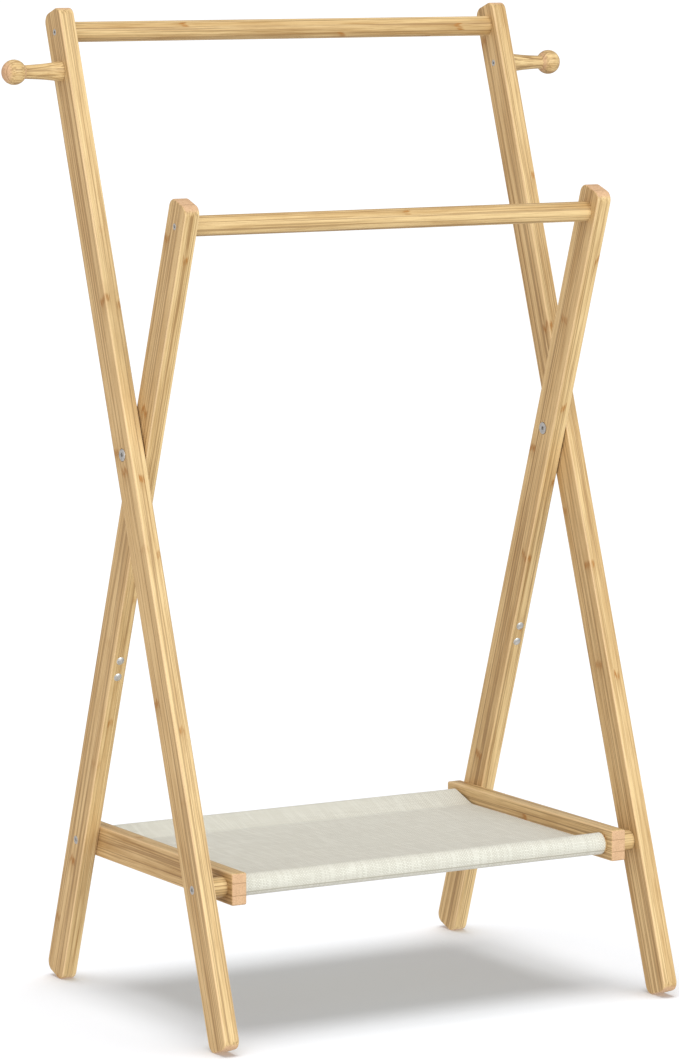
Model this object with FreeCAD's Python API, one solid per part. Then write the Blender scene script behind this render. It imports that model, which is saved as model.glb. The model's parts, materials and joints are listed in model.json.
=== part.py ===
import FreeCAD, Part
import math
import os

# Folding clothes rack of laminated bamboo, millimetres.
# Two tall legs (feet in front, tops leaning back) cross two short legs (feet behind, tops leaning
# forward) at a pivot bolt on each side. A fabric shelf hangs between two rods low down.
# X is the rack's width, the front is -Y, +Z is up, and the feet stand on z = 0.

V = FreeCAD.Vector

# Driving dimensions of the frame
lean_deg = 19.0              # each leg's lean from the upright
leg_thickness = 20.0         # along X
leg_depth = 43.0             # across the leg, in the side view
leg_end_radius = 12.0        # rounded corners of the leg ends, in the side view
leg_edge_radius = 2.0        # eased long edges
leg_gap = 1.3                # between a tall leg and the short leg beside it
outer_width = 643.0          # over the tall legs' outer faces
pivot_to_foot = 728.0        # along every leg, from the pivot to the foot's end
pivot_to_tall_top = 561.0
pivot_to_short_top = 328.0
pivot_to_upper_rail = 533.5
pivot_to_lower_rail = 297.0
pivot_to_shelf_rod = 533.5   # the same on both frames, so the shelf is level
pivot_to_peg = 483.5
rod_radius = 12.5            # hanging rails and shelf rods are one stock of dowel

# Shelf
side_rail_thickness = 20.0
side_rail_height = 39.0
side_rail_overhang = 24.0    # past the rod's axis at each end
side_rail_edge_radius = 2.5
side_clearance = 0.3         # between pieces that swing past each other
fabric_half_width = 252.0
fabric_thickness = 1.0
fabric_rod_gap = 0.2
pocket_seam = 42.0           # from a rod's axis to the seam that closes its pocket

# Turned pegs, measured out from the leg's face
peg_base_radius = 12.5
peg_neck_radius = 8.5
peg_neck_at = 47.0
peg_ball_radius = 15.5
peg_ball_at = 63.5
peg_hollow = 0.9             # the taper's dip below a straight line, half way along

# Fasteners
fit = 0.05                   # radial clearance of a shank or a sleeve in its hole
pivot_head_radius = 7.5
pivot_head_height = 2.2
pivot_recess_depth = 1.5
pivot_recess_radius = 8.1
pivot_head_edge_radius = 0.8
pivot_sleeve_radius = 4.95
pivot_sleeve_floor = 4.0     # solid metal under the sleeve's head
pivot_bolt_length = 26.0
pivot_socket = 5.0           # sockets are measured across their flats
pivot_socket_depth = 3.2
bolt_radius = 3.0
shelf_bolt_head_radius = 5.3
shelf_bolt_length = 48.0
shelf_bolt_socket = 4.0
screw_radius = 2.4
screw_head_radius = 4.0
screw_length = 50.0
screw_socket = 3.0
screw_socket_depth = 2.2
countersunk_height = 3.0
flush_drop = 0.15            # a countersunk head sits this far under the face
insert_radius = 4.95
insert_length = 26.0
end_setback = 0.2            # an insert stops this far inside its rod's end
bore_spare = 4.0             # a rod's bore goes this far past its insert
washer_radius = 9.0
washer_thickness = 1.1
stud_head_radius = 5.2
stud_head_height = 1.6
stud_radius = 2.0
stud_length = 14.0
stud_spots = (-271.5, -294.0)   # along the short leg from the pivot

# How the pieces are cut and joined
over = 1.0                   # a cutter runs this far past the face it starts from
overlap = 0.5                # two bodies share this much before they are fused
sliver = 1e-6                # edges shorter than this along X lie across it

# Derived values
lean = math.radians(lean_deg)
end_inset = leg_depth / 2 - leg_end_radius
pivot_z = (pivot_to_foot - leg_end_radius) * math.cos(lean) + end_inset * math.sin(lean) + leg_end_radius
tall_outer = outer_width / 2
tall_inner = tall_outer - leg_thickness
short_outer = tall_inner - leg_gap
short_inner = short_outer - leg_thickness
side_rail_outer = short_inner - side_clearance
side_rail_inner = side_rail_outer - side_rail_thickness
front_rod_half = tall_inner - side_clearance
rear_rod_half = short_inner - side_clearance

SIDES = {"left": -1, "right": 1}
TALL = -1      # turning sense about X that leans a leg's top to the back
SHORT = 1


def on_leg(sense, along):
    """The y and z of a point on a leg's centre line, along it from the pivot."""
    return -sense * along * math.sin(lean), pivot_z + along * math.cos(lean)


def lean_over(shape, sense):
    """Turn a shape made upright about the pivot's X axis to its leg's lean, and lift it there."""
    shape.rotate(V(0, 0, 0), V(1, 0, 0), sense * lean_deg)
    shape.translate(V(0, 0, pivot_z))
    return shape


def cylinder_x(radius, x_from, x_to, y, z):
    """A cylinder along X between two places."""
    low, high = min(x_from, x_to), max(x_from, x_to)
    return Part.makeCylinder(radius, high - low, V(low, y, z), V(1, 0, 0))


def cone_x(radius_from, radius_to, x_from, x_to, y, z):
    """A cone along X that starts at x_from with radius_from and ends at x_to with radius_to."""
    step = 1 if x_to > x_from else -1
    return Part.makeCone(radius_from, radius_to, abs(x_to - x_from), V(x_from, y, z), V(step, 0, 0))


def hex_socket(across_flats, x_face, depth, inward, y, z):
    """A hexagonal prism that starts just outside the face and goes in by the depth."""
    corner = across_flats / math.sqrt(3)
    start = x_face - inward * overlap
    points = []
    for k in range(7):
        angle = math.radians(60 * k)
        points.append(V(start, y + corner * math.cos(angle), z + corner * math.sin(angle)))
    face = Part.Face(Part.makePolygon(points))
    return face.extrude(V(inward * (depth + overlap), 0, 0))


def rounded_bar(x_low, x_high, y_low, y_high, z_low, z_high, corner, edge):
    """A bar across X whose side outline has round corners and whose long edges are eased."""
    c = corner
    lines = [
        (V(0, y_low + c, z_low), V(0, y_high - c, z_low)),
        (V(0, y_high, z_low + c), V(0, y_high, z_high - c)),
        (V(0, y_high - c, z_high), V(0, y_low + c, z_high)),
        (V(0, y_low, z_high - c), V(0, y_low, z_low + c)),
    ]
    centres = [
        (y_high - c, z_low + c, -45),
        (y_high - c, z_high - c, 45),
        (y_low + c, z_high - c, 135),
        (y_low + c, z_low + c, 225),
    ]
    edges = []
    for k in range(4):
        start, stop = lines[k]
        edges.append(Part.LineSegment(start, stop).toShape())
        cy, cz, middle = centres[k]
        angle = math.radians(middle)
        mid = V(0, cy + c * math.cos(angle), cz + c * math.sin(angle))
        edges.append(Part.Arc(stop, mid, lines[(k + 1) % 4][0]).toShape())
    outline = Part.Face(Part.Wire(edges))
    outline.translate(V(x_low, 0, 0))
    bar = outline.extrude(V(x_high - x_low, 0, 0))
    rim = []
    for candidate in bar.Edges:
        box = candidate.BoundBox
        if box.XLength < sliver:
            rim.append(candidate)
    return bar.makeFillet(edge, rim)


def countersunk(head_radius, shank_radius, length, x_face, inward, y, z, socket):
    """A flat-headed screw along X with a hexagonal socket, its head just under the face."""
    top = x_face + inward * flush_drop
    head = cone_x(head_radius, shank_radius, top, top + inward * countersunk_height, y, z)
    shank_top = top + inward * (countersunk_height - overlap)
    shank = cylinder_x(shank_radius, shank_top, top + inward * length, y, z)
    return head.fuse(shank).removeSplitter().cut(hex_socket(socket, top, screw_socket_depth, inward, y, z))


def countersink(head_radius, shank_radius, depth, x_face, inward, y, z):
    """The hole for a flat-headed screw: a through bore with a cone at the face."""
    bore = cylinder_x(shank_radius + fit, x_face - inward * over, x_face + inward * depth, y, z)
    cone_depth = countersunk_height + flush_drop
    slope = (head_radius - shank_radius) / countersunk_height
    wide = shank_radius + fit * 2 + slope * (cone_depth + overlap)
    cone = cone_x(wide, shank_radius + fit, x_face - inward * overlap, x_face + inward * cone_depth, y, z)
    return bore.fuse(cone)


def tall_leg(side):
    """A tall leg with its pivot bore, its rail, shelf and peg screw holes."""
    low, high = sorted((side * tall_inner, side * tall_outer))
    leg = rounded_bar(low, high, -leg_depth / 2, leg_depth / 2, -pivot_to_foot, pivot_to_tall_top,
                      leg_end_radius, leg_edge_radius)
    leg = lean_over(leg, TALL)
    y, z = on_leg(TALL, 0)
    leg = leg.cut(cylinder_x(pivot_sleeve_radius + fit, side * (tall_inner - over),
                             side * (tall_outer + over), y, z))
    leg = leg.cut(cylinder_x(pivot_recess_radius, side * (tall_outer - pivot_recess_depth),
                             side * (tall_outer + over), y, z))
    y, z = on_leg(TALL, pivot_to_upper_rail)
    leg = leg.cut(countersink(screw_head_radius, screw_radius, leg_thickness + over,
                              side * tall_outer, -side, y, z))
    y, z = on_leg(TALL, -pivot_to_shelf_rod)
    leg = leg.cut(countersink(shelf_bolt_head_radius, bolt_radius, leg_thickness + over,
                              side * tall_outer, -side, y, z))
    y, z = on_leg(TALL, pivot_to_peg)
    return leg.cut(countersink(screw_head_radius, screw_radius, leg_thickness + over,
                               side * tall_inner, side, y, z))


def short_leg(side):
    """A short leg with its pivot bore, its rail and shelf bolt holes, and two stud holes in front."""
    low, high = sorted((side * short_inner, side * short_outer))
    leg = rounded_bar(low, high, -leg_depth / 2, leg_depth / 2, -pivot_to_foot, pivot_to_short_top,
                      leg_end_radius, leg_edge_radius)
    middle = side * (short_inner + short_outer) / 2
    for along in stud_spots:
        leg = leg.cut(Part.makeCylinder(stud_radius + fit, stud_length + 2 * over,
                                        V(middle, -leg_depth / 2 - over, along), V(0, 1, 0)))
    leg = lean_over(leg, SHORT)
    y, z = on_leg(SHORT, 0)
    leg = leg.cut(cylinder_x(pivot_sleeve_radius + fit, side * (short_inner - over),
                             side * (short_outer + over), y, z))
    leg = leg.cut(cylinder_x(pivot_recess_radius, side * (short_inner - over),
                             side * (short_inner + pivot_recess_depth), y, z))
    y, z = on_leg(SHORT, pivot_to_lower_rail)
    leg = leg.cut(countersink(screw_head_radius, screw_radius, leg_thickness + over,
                              side * short_outer, -side, y, z))
    y, z = on_leg(SHORT, -pivot_to_shelf_rod)
    return leg.cut(countersink(shelf_bolt_head_radius, bolt_radius, leg_thickness + over,
                               side * short_outer, -side, y, z))


def dowel(half_length, sense, along, bore_radius, bore_depth):
    """A round rail across X with a blind bore in each end."""
    y, z = on_leg(sense, along)
    rod = cylinder_x(rod_radius, -half_length, half_length, y, z)
    for side in SIDES.values():
        rod = rod.cut(cylinder_x(bore_radius, side * (half_length - bore_depth),
                                 side * (half_length + over), y, z))
    return rod


def pivot_sleeve(side):
    """A flanged sleeve nut that runs through both legs from the inner face, bored for the bolt."""
    y, z = on_leg(TALL, 0)
    floor = short_inner + pivot_recess_depth - fit
    head = cylinder_x(pivot_head_radius, side * (floor - pivot_head_height), side * floor, y, z)
    tube_end = tall_outer - pivot_recess_depth - over
    tube = cylinder_x(pivot_sleeve_radius, side * (floor - overlap), side * tube_end, y, z)
    body = head.fuse(tube).removeSplitter()
    body = body.cut(cylinder_x(bolt_radius + fit, side * (floor + pivot_sleeve_floor),
                               side * (tall_outer + over), y, z))
    return body.cut(hex_socket(pivot_socket, side * (floor - pivot_head_height), pivot_socket_depth,
                               side, y, z))


def pivot_bolt(side):
    """The bolt that screws into the sleeve from the outer face, with a wide flat head."""
    y, z = on_leg(TALL, 0)
    floor = tall_outer - pivot_recess_depth
    head = cylinder_x(pivot_head_radius, side * floor, side * (floor + pivot_head_height), y, z)
    rim = []
    for edge in head.Edges:
        if edge.BoundBox.XLength < sliver and abs(edge.BoundBox.Center.x) > floor + overlap:
            rim.append(edge)
    head = head.makeFillet(pivot_head_edge_radius, rim)
    shank = cylinder_x(bolt_radius, side * (floor - pivot_bolt_length), side * (floor + overlap), y, z)
    body = head.fuse(shank).removeSplitter()
    return body.cut(hex_socket(pivot_socket, side * (floor + pivot_head_height), pivot_socket_depth,
                               -side, y, z))


def pivot_washer(side):
    """The flat ring that keeps the two legs of a side apart."""
    y, z = on_leg(TALL, 0)
    ring = cylinder_x(washer_radius, side * (tall_inner - washer_thickness), side * tall_inner, y, z)
    return ring.cut(cylinder_x(pivot_sleeve_radius + fit, side * (short_outer - over),
                               side * (tall_inner + over), y, z))


def insert(sense, half_length, side):
    """A threaded insert let into the end of a shelf rod."""
    y, z = on_leg(sense, -pivot_to_shelf_rod)
    stop = half_length - end_setback
    start = stop - insert_length
    body = cylinder_x(insert_radius, side * start, side * stop, y, z)
    return body.cut(cylinder_x(bolt_radius + fit, side * (start - over), side * (stop + over), y, z))


def peg(side):
    """A turned coat peg: a hollow taper from the leg's face to a neck, and a ball on its end."""
    y, z = on_leg(TALL, pivot_to_peg)
    ball_back = peg_ball_at - math.sqrt(peg_ball_radius ** 2 - peg_neck_radius ** 2)
    waist = V(peg_neck_at / 2, (peg_base_radius + peg_neck_radius) / 2 - peg_hollow, 0)
    neck = V(ball_back, peg_neck_radius, 0)
    tip = V(peg_ball_at + peg_ball_radius, 0, 0)
    crown = V(peg_ball_at, peg_ball_radius, 0)
    edges = [
        Part.makeLine(V(0, 0, 0), V(0, peg_base_radius, 0)),
        Part.Arc(V(0, peg_base_radius, 0), waist, neck).toShape(),
        Part.Arc(neck, crown, tip).toShape(),
        Part.makeLine(tip, V(0, 0, 0)),
    ]
    turned = Part.Face(Part.Wire(edges)).revolve(V(0, 0, 0), V(1, 0, 0), 360)
    turned = turned.cut(cylinder_x(screw_radius + fit, -over, screw_length - leg_thickness + 2 * over, 0, 0))
    if side < 0:
        turned.rotate(V(0, 0, 0), V(0, 0, 1), 180)
    turned.translate(V(side * tall_outer, y, z))
    return turned


def studs(side):
    """Two low-domed studs on the front face of a short leg."""
    middle = side * (short_inner + short_outer) / 2
    front = -leg_depth / 2
    dome = (stud_head_radius ** 2 + stud_head_height ** 2) / (2 * stud_head_height)
    group = []
    for along in stud_spots:
        ball = Part.makeSphere(dome, V(middle, front - stud_head_height + dome, along))
        slab = Part.makeCylinder(stud_head_radius, stud_head_height,
                                 V(middle, front - stud_head_height, along), V(0, 1, 0))
        shank = Part.makeCylinder(stud_radius, stud_length, V(middle, front - overlap, along), V(0, 1, 0))
        group.append(ball.common(slab).fuse(shank).removeSplitter())
    return lean_over(Part.makeCompound(group), SHORT)


def side_rail(side):
    """A bar beside the fabric, bored for the two shelf rods."""
    reach = front_y + side_rail_overhang
    low, high = sorted((side * side_rail_inner, side * side_rail_outer))
    bar = rounded_bar(low, high, -reach, reach, shelf_z - side_rail_height / 2,
                      shelf_z + side_rail_height / 2, side_rail_edge_radius, leg_edge_radius)
    for y in (-front_y, front_y):
        bar = bar.cut(cylinder_x(rod_radius + fit, side * (side_rail_inner - over),
                                 side * (side_rail_outer + over), y, shelf_z))
    return bar


def pocket(y, toward, radius, grow):
    """A teardrop prism round a rod: the rod's circle and its two tangents to the seam."""
    seam_distance = pocket_seam + grow
    touch = math.acos(radius / seam_distance)
    upper = V(0, y + toward * radius * math.cos(touch), shelf_z + radius * math.sin(touch))
    lower = V(0, upper.y, shelf_z - radius * math.sin(touch))
    seam = V(0, y + toward * seam_distance, shelf_z)
    back = V(0, y - toward * radius, shelf_z)
    wire = Part.Wire([
        Part.makeLine(seam, upper),
        Part.Arc(upper, back, lower).toShape(),
        Part.makeLine(lower, seam),
    ])
    face = Part.Face(wire)
    face.translate(V(-fabric_half_width, 0, 0))
    return face.extrude(V(2 * fabric_half_width, 0, 0))


def fabric():
    """A flat panel between two pockets, one round each shelf rod."""
    inner = rod_radius + fabric_rod_gap
    outer = inner + fabric_thickness
    grow = fabric_thickness * pocket_seam / inner
    sheet = Part.makeBox(2 * fabric_half_width, 2 * (front_y - pocket_seam), fabric_thickness,
                         V(-fabric_half_width, -(front_y - pocket_seam), shelf_z - fabric_thickness / 2))
    for y, toward in ((-front_y, 1), (front_y, -1)):
        sheet = sheet.fuse(pocket(y, toward, outer, grow))
    for y, toward in ((-front_y, 1), (front_y, -1)):
        sheet = sheet.cut(pocket(y, toward, inner, 0))
    return sheet.removeSplitter()


front_y = abs(on_leg(TALL, -pivot_to_shelf_rod)[0])
shelf_z = on_leg(TALL, -pivot_to_shelf_rod)[1]
screw_bore = screw_length - leg_thickness + 3 * over
insert_bore = insert_length + bore_spare
front_bolt_length = leg_thickness - 2 * side_clearance   # it ends inside the leg, clear of the rod

nodes = {
    "upper_rail": dowel(tall_inner, TALL, pivot_to_upper_rail, screw_radius + fit, screw_bore),
    "lower_rail": dowel(short_inner, SHORT, pivot_to_lower_rail, screw_radius + fit, screw_bore),
    "shelf_front_rod": dowel(front_rod_half, TALL, -pivot_to_shelf_rod, insert_radius + fit, insert_bore),
    "shelf_rear_rod": dowel(rear_rod_half, SHORT, -pivot_to_shelf_rod, insert_radius + fit, insert_bore),
    "shelf_fabric": fabric(),
}

for name, side in SIDES.items():
    nodes["tall_leg_" + name] = tall_leg(side)
    nodes["short_leg_" + name] = short_leg(side)
    nodes["shelf_side_rail_" + name] = side_rail(side)
    nodes["peg_" + name] = peg(side)
    nodes["pivot_sleeve_" + name] = pivot_sleeve(side)
    nodes["pivot_bolt_" + name] = pivot_bolt(side)
    nodes["pivot_washer_" + name] = pivot_washer(side)
    nodes["leg_studs_" + name] = studs(side)
    nodes["front_rod_insert_" + name] = insert(TALL, front_rod_half, side)
    nodes["rear_rod_insert_" + name] = insert(SHORT, rear_rod_half, side)
    y, z = on_leg(TALL, pivot_to_upper_rail)
    nodes["upper_rail_screw_" + name] = countersunk(screw_head_radius, screw_radius, screw_length,
                                                    side * tall_outer, -side, y, z, screw_socket)
    y, z = on_leg(SHORT, pivot_to_lower_rail)
    nodes["lower_rail_screw_" + name] = countersunk(screw_head_radius, screw_radius, screw_length,
                                                    side * short_outer, -side, y, z, screw_socket)
    y, z = on_leg(TALL, pivot_to_peg)
    nodes["peg_screw_" + name] = countersunk(screw_head_radius, screw_radius, screw_length,
                                             side * tall_inner, side, y, z, screw_socket)
    y, z = on_leg(TALL, -pivot_to_shelf_rod)
    nodes["shelf_front_bolt_" + name] = countersunk(shelf_bolt_head_radius, bolt_radius, front_bolt_length,
                                                    side * tall_outer, -side, y, z, shelf_bolt_socket)
    y, z = on_leg(SHORT, -pivot_to_shelf_rod)
    nodes["shelf_rear_bolt_" + name] = countersunk(shelf_bolt_head_radius, bolt_radius, shelf_bolt_length,
                                                   side * short_outer, -side, y, z, shelf_bolt_socket)

os.makedirs("parts", exist_ok=True)
for name, shape in nodes.items():
    if not shape.isValid():
        raise RuntimeError(name + " is not a valid shape")
    shape.exportStep("parts/" + name + ".step")
    print(name, "%d solid(s), %.0f mm3" % (len(shape.Solids), shape.Volume))
print("pivot height %.2f, shelf rods at y %.2f, z %.2f" % (pivot_z, front_y, shelf_z))
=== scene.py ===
"""Looks of a folding bamboo garment rack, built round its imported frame.

The frame's own pieces keep their shapes and get bamboo and metal finishes. The two turned
pegs and the cloth shelf, with its sewing, are new surfaces. Everything is in metres.
"""

import json
import math

import bpy
import numpy as np
from bpy.props import FloatProperty, FloatVectorProperty, PointerProperty
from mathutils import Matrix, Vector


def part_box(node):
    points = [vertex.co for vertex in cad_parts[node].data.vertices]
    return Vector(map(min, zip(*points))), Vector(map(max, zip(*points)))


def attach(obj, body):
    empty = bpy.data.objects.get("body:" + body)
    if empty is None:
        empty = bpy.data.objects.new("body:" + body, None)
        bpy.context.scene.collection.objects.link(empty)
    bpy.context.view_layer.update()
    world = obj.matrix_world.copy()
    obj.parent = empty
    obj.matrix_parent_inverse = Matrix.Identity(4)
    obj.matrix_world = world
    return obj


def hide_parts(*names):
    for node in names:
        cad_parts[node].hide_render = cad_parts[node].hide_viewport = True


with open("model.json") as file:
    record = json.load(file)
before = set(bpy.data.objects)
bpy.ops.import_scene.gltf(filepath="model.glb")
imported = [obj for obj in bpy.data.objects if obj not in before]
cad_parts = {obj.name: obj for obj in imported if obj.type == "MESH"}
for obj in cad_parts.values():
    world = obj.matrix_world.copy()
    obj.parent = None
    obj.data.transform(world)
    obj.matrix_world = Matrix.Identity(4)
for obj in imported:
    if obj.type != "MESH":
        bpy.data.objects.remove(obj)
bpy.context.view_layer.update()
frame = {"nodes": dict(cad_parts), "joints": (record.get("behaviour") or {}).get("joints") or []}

bl_info = {
    "name": "Folding garment rack",
    "version": (1, 0, 0),
    "blender": (4, 5, 0),
    "location": "3D View > Sidebar > Rack",
    "description": "A folding bamboo garment rack with two rails, pegs and a cloth shelf",
    "category": "Add Mesh",
}

SIDES = ("left", "right")
STEEL_NODES = (
    "upper_rail_screw", "lower_rail_screw", "peg_screw", "pivot_bolt", "pivot_sleeve",
    "pivot_washer", "shelf_front_bolt", "shelf_rear_bolt", "leg_studs",
)
BRASS_NODES = ("front_rod_insert", "rear_rod_insert")


# ---------------------------------------------------------------- places read from the frame

def middle(node):
    """The centre of a node's box at rest."""
    low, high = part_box(node)
    return np.array((low + high) / 2)


def half_size(node):
    """Half of a node's box at rest."""
    low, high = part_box(node)
    return np.array((high - low) / 2)


def pivot():
    """The point on the middle plane that the two frames turn about."""
    return np.array(frame["joints"][0]["pos_m"])


def lean():
    """The angle of the tall legs from upright, from the pivot to the upper rail."""
    reach = middle("upper_rail") - pivot()
    return math.atan2(reach[1], reach[2])


# ---------------------------------------------------------------- sizes and colours

def length(name, description, default, low=0.0):
    """A size in metres."""
    return FloatProperty(name=name, description=description, default=default, min=low,
                         precision=5, unit="LENGTH", subtype="DISTANCE")


def colour(name, description, default):
    """A colour in linear values."""
    return FloatVectorProperty(name=name, description=description, default=default,
                               size=3, min=0.0, max=1.0, subtype="COLOR")


def share(name, description, default):
    """A value from nothing to one."""
    return FloatProperty(name=name, description=description, default=default,
                         min=0.0, max=1.0, subtype="FACTOR")


class RackBamboo(bpy.types.PropertyGroup):
    """Colours and strip sizes of the laminated bamboo."""

    pale: colour("Pale strip", "The palest bamboo strip", (0.760, 0.550, 0.275))
    honey: colour("Honey strip", "The darkest bamboo strip", (0.400, 0.222, 0.072))
    glue: colour("Glue line", "The line between two strips", (0.235, 0.115, 0.038))
    knuckle: colour("Knuckle", "The mark where the cane had a joint", (0.400, 0.160, 0.026))
    end_grain: colour("End grain", "Cut and rounded ends", (0.680, 0.425, 0.255))
    # Paler from wear and from a painted highlight where a rounded edge catches the light.
    worn_edge_highlight: colour("Worn edge", "The eased edges of the bars", (0.860, 0.620, 0.350))
    strip_thin: length("Thin strip", "A strip's size across a bar's narrow face", 0.0074)
    strip_wide: length("Wide strip", "A strip's size across a bar's wide face", 0.0150)
    leg_depth: length("Leg depth", "A leg's wide face", 0.043)
    knuckle_gap: length("Knuckle spacing", "From one knuckle of a strip to the next", 0.310)
    gloss: share("Roughness", "Roughness of the clear satin coat", 0.40)


class RackMetal(bpy.types.PropertyGroup):
    """Colours of the fasteners."""

    steel: colour("Plated steel", "Screws, bolts, sleeves, washers and studs", (0.74, 0.73, 0.71))
    brass: colour("Brass", "Threaded inserts in the shelf rods", (0.78, 0.57, 0.27))
    tarnish: share("Tarnish", "How much darker the dull patches are", 0.25)


class RackPeg(bpy.types.PropertyGroup):
    """Sizes of a turned peg, along its axis from the leg."""

    base_radius: length("Base radius", "Radius against the leg", 0.0125)
    neck_radius: length("Neck radius", "Radius where the ball begins", 0.0085)
    neck_reach: length("Neck reach", "From the leg to the narrowest place", 0.047)
    ball_radius: length("Ball radius", "Radius of the ball", 0.0155)
    ball_reach: length("Ball reach", "From the leg to the ball's centre", 0.0635)
    fillet: length("Fillet", "How softly the neck runs into the ball", 0.0022)
    base_edge: length("Base edge", "The small rounding at the leg", 0.0004)


class RackCanvas(bpy.types.PropertyGroup):
    """Sizes and colours of the cloth shelf."""

    warp: colour("Warp", "Threads along the rods", (0.700, 0.680, 0.605))
    weft: colour("Weft", "Threads from front to back", (0.600, 0.578, 0.500))
    slub: colour("Slub", "The thicker, paler places of the threads", (0.860, 0.850, 0.770))
    # Painted shade between the threads and in the pressed lines.
    gap: colour("Gap", "Between threads, and in the pressed lines", (0.42, 0.39, 0.31))
    thread_gap: length("Thread spacing", "From one thread to the next", 0.00190)
    half_width: length("Half width", "From the middle to a side hem", 0.2575)
    thickness: length("Thickness", "Thickness of one layer", 0.0009)
    hem: length("Hem", "Width of the folded side hems", 0.010)
    hem_thickness: length("Hem thickness", "Thickness of the folded side hems", 0.0013)
    rod_gap: length("Rod gap", "Air between a rod and the cloth's middle layer", 0.00065)
    seam_reach: length("Seam", "From a rod's axis to the seam of its pocket", 0.042)
    turn_in: length("Turn-in", "Cloth past the seam, under the panel", 0.012)
    shaded_crease: length("Crease", "From the cloth's middle to the line pressed under a sleeve", 0.2030)
    sag: length("Sag", "How far the panel hangs at its middle", 0.0012)
    ripple: length("Ripple", "Height of the cloth's slow unevenness", 0.00030)


class RackStitch(bpy.types.PropertyGroup):
    """The sewing of the cloth shelf."""

    thread: colour("Thread", "Sewing thread", (0.760, 0.750, 0.690))
    pitch: length("Pitch", "From one stitch to the next", 0.0036)
    run: length("Run", "Length of one stitch", 0.0029)
    radius: length("Radius", "Half the thread's width", 0.00034)


class RackStage(bpy.types.PropertyGroup):
    """Floor, light and camera."""

    floor: colour("Floor", "The pale studio floor", (0.955, 0.965, 0.985))
    floor_size: length("Floor size", "Side of the square floor", 600.0)
    camera_place: FloatVectorProperty(
        name="Camera place", description="Where the camera stands", size=3,
        default=(-2.98139, -5.13037, 1.35370), subtype="TRANSLATION", unit="LENGTH")
    camera_turn: FloatProperty(
        name="Camera turn", description="Turn about the vertical, from looking along +Y",
        default=math.radians(-30.01), subtype="ANGLE", unit="ROTATION")
    camera_tilt: FloatProperty(
        name="Camera tilt", description="Tilt above the horizon",
        default=math.radians(-7.43), subtype="ANGLE", unit="ROTATION")
    camera_lens: FloatProperty(
        name="Camera lens", description="Focal length in millimetres for a 36 mm long side",
        default=163.31, min=1.0)
    room: FloatProperty(
        name="Room light", description="Light from all round", default=0.50, min=0.0)
    front: FloatProperty(
        name="Front light", description="Soft light from the front right", default=2.30, min=0.0)
    side: FloatProperty(
        name="Side light", description="Soft light from the left", default=1.05, min=0.0)
    top: FloatProperty(
        name="Top light", description="Soft light from above", default=0.55, min=0.0)
    floor_light: FloatProperty(
        name="Floor light", description="Light from above for the floor alone", default=1.90,
        min=0.0)
    bounce: FloatProperty(
        name="Bounce", description="Light that the floor sends up", default=0.70, min=0.0)
    floor_glow: FloatProperty(
        name="Floor glow", description="Light from the lit floor itself", default=0.05, min=0.0)


# ---------------------------------------------------------------- node trees

class Graph:
    """A node tree, with short ways to add nodes and wire them."""

    def __init__(self, tree):
        self.tree = tree

    def add(self, kind, feeds=None, **settings):
        """A new shader node with its settings made and its inputs fed."""
        made = self.tree.nodes.new("ShaderNode" + kind)
        for name, value in settings.items():
            setattr(made, name, value)
        for socket, value in (feeds or {}).items():
            self.feed(made.inputs[socket], value)
        return made

    def feed(self, socket, value):
        """Wires a socket to another one, or sets its own value."""
        if isinstance(value, bpy.types.NodeSocket):
            self.tree.links.new(value, socket)
        else:
            socket.default_value = value

    def math(self, operation, *values, clamp=False):
        """One sum on numbers."""
        return self.add("Math", dict(enumerate(values)), operation=operation,
                        use_clamp=clamp).outputs[0]

    def vector(self, operation, *values):
        """One sum on vectors; a dot product gives its number."""
        made = self.add("VectorMath", dict(enumerate(values)), operation=operation)
        return made.outputs["Value" if operation == "DOT_PRODUCT" else "Vector"]

    def mix(self, factor, first, second, blend="MIX"):
        """A colour between two colours."""
        feeds = {0: factor, 6: first, 7: second}
        made = self.add("Mix", feeds, data_type="RGBA", blend_type=blend)
        return made.outputs[2]

    def step(self, value, low, high, to_low=0.0, to_high=1.0):
        """A smooth step of value from low to high."""
        feeds = {0: value, 1: low, 2: high, 3: to_low, 4: to_high}
        return self.add("MapRange", feeds, interpolation_type="SMOOTHSTEP").outputs[0]

    def noise(self, vector, scale=1.0, detail=2.0, roughness=0.5, distortion=0.0):
        """Smooth noise about one half."""
        feeds = {"Vector": vector, "Scale": scale, "Detail": detail,
                 "Roughness": roughness, "Distortion": distortion}
        return self.add("TexNoise", feeds).outputs[0]

    def chance(self, vector):
        """A random number and a random colour for each whole-numbered cell."""
        made = self.add("TexWhiteNoise", {"Vector": vector}, noise_dimensions="3D")
        return made.outputs["Value"], made.outputs["Color"]

    def split(self, vector):
        """The three parts of a vector."""
        return self.add("SeparateXYZ", {0: vector}).outputs[:]

    def join(self, x, y, z):
        """A vector of three parts."""
        return self.add("CombineXYZ", {0: x, 1: y, 2: z}).outputs[0]


def rgba(values):
    """A colour socket's four values."""
    return (*values, 1.0)


def new_material(name):
    """A material with an empty tree and its finished shader."""
    made = bpy.data.materials.new(name)
    made.use_nodes = True
    made.node_tree.nodes.clear()
    graph = Graph(made.node_tree)
    shader = graph.add("BsdfPrincipled")
    output = graph.add("OutputMaterial")
    graph.feed(output.inputs["Surface"], shader.outputs[0])
    return made, graph, shader


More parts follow.
